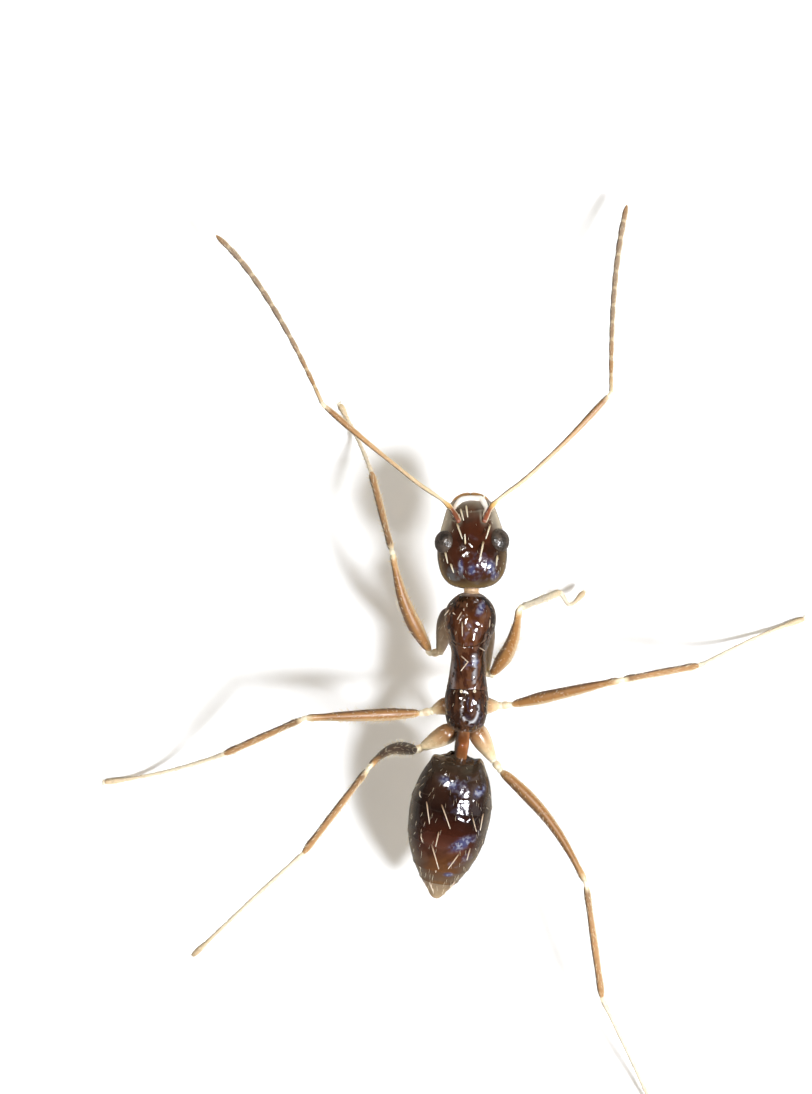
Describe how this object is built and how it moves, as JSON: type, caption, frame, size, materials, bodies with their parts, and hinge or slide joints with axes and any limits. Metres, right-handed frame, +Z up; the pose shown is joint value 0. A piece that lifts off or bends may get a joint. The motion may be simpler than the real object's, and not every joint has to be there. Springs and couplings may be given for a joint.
{
  "type": "ant",
  "caption": "Long-legged, long-horned worker ant in mid-stride, a still life-size museum model with glossy dark body, elbowed feelers and pale slender legs.",
  "frame": {"origin": "middle of the footprint's bounding box, on the floor the feet stand on", "axes": "+Z up; -Y the way the head points; +X the ant's left"},
  "size_m": [0.0046, 0.0064, 0.0017],
  "materials": {
    "head_shell": "glossy dark brown to black cuticle with a faint blue sheen",
    "trunk_shell": "glossy dark brown cuticle with a faint violet sheen",
    "gaster_shell": "glossy dark brown plates with redder rear bands",
    "gaster_tip": "tan translucent tip",
    "petiole_shell": "reddish brown cuticle",
    "neck_membrane": "pale yellow membrane",
    "eye": "blackish compound eye with fine facets",
    "jaw": "reddish brown jaws with dark teeth",
    "palp": "pale amber",
    "scape": "golden brown",
    "funiculus": "greyish brown with a fine down",
    "coxa": "pale amber, translucent",
    "trochanter": "pale straw, translucent",
    "femur": "brown with pale ends",
    "tibia": "brown with pale joints",
    "tarsus": "pale straw with browner claws",
    "setae": "long pale cream bristles"
  },
  "bodies": {
    "root": {"head": "head_shell", "eye_left": "eye", "mandible_left": "jaw", "palp_left": "palp", "eye_right": "eye", "mandible_right": "jaw", "palp_right": "palp", "pronotum": "trunk_shell", "mesothorax": "trunk_shell", "propodeum": "trunk_shell", "neck": "neck_membrane", "petiole": "petiole_shell", "gaster_1": "gaster_shell", "gaster_2": "gaster_shell", "gaster_3": "gaster_shell", "gaster_4": "gaster_shell", "gaster_tip": "gaster_tip", "scape_left": "scape", "funiculus_left": "funiculus", "scape_right": "scape", "funiculus_right": "funiculus", "coxa_front_left": "coxa", "trochanter_front_left": "trochanter", "femur_front_left": "femur", "tibia_front_left": "tibia", "tarsus_front_left": "tarsus", "coxa_front_right": "coxa", "trochanter_front_right": "trochanter", "femur_front_right": "femur", "tibia_front_right": "tibia", "tarsus_front_right": "tarsus", "coxa_middle_left": "coxa", "trochanter_middle_left": "trochanter", "femur_middle_left": "femur", "tibia_middle_left": "tibia", "tarsus_middle_left": "tarsus", "coxa_middle_right": "coxa", "trochanter_middle_right": "trochanter", "femur_middle_right": "femur", "tibia_middle_right": "tibia", "tarsus_middle_right": "tarsus", "coxa_hind_left": "coxa", "trochanter_hind_left": "trochanter", "femur_hind_left": "femur", "tibia_hind_left": "tibia", "tarsus_hind_left": "tarsus", "coxa_hind_right": "coxa", "trochanter_hind_right": "trochanter", "femur_hind_right": "femur", "tibia_hind_right": "tibia", "tarsus_hind_right": "tarsus"}
  },
  "joints": []
}
